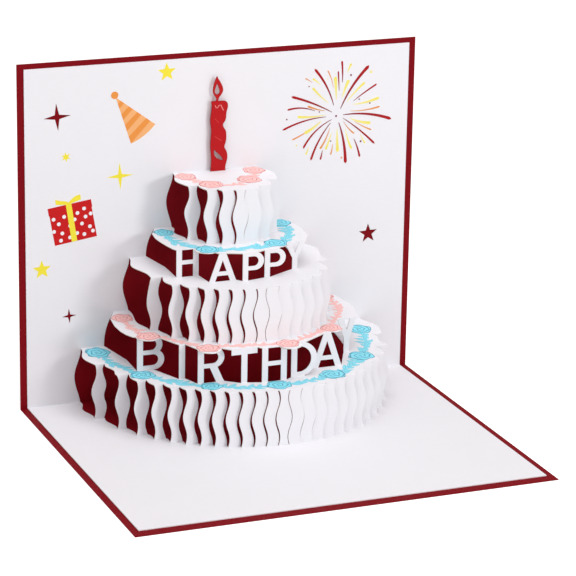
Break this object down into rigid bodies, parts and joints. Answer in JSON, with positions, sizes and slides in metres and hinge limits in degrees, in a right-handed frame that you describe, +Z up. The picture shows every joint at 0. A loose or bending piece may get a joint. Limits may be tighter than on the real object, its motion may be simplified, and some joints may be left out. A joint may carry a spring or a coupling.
{
  "type": "pop up card",
  "caption": "Folded greeting card opened to a right angle, with a tiered cake cut from one sheet standing out of its fold.",
  "frame": {"origin": "middle of the footprint, on the plane the card stands on", "axes": "+X along the fold, +Y from the open front edge towards the standing panel, +Z up"},
  "size_m": [0.18, 0.1508, 0.1507],
  "materials": {
    "cover": "smooth dark red card",
    "popup_sheet": "matt white printed paper",
    "candle": "matt red paper"
  },
  "bodies": {
    "root": {"cover": "cover", "popup_sheet": "popup_sheet", "candle": "candle"}
  },
  "joints": []
}
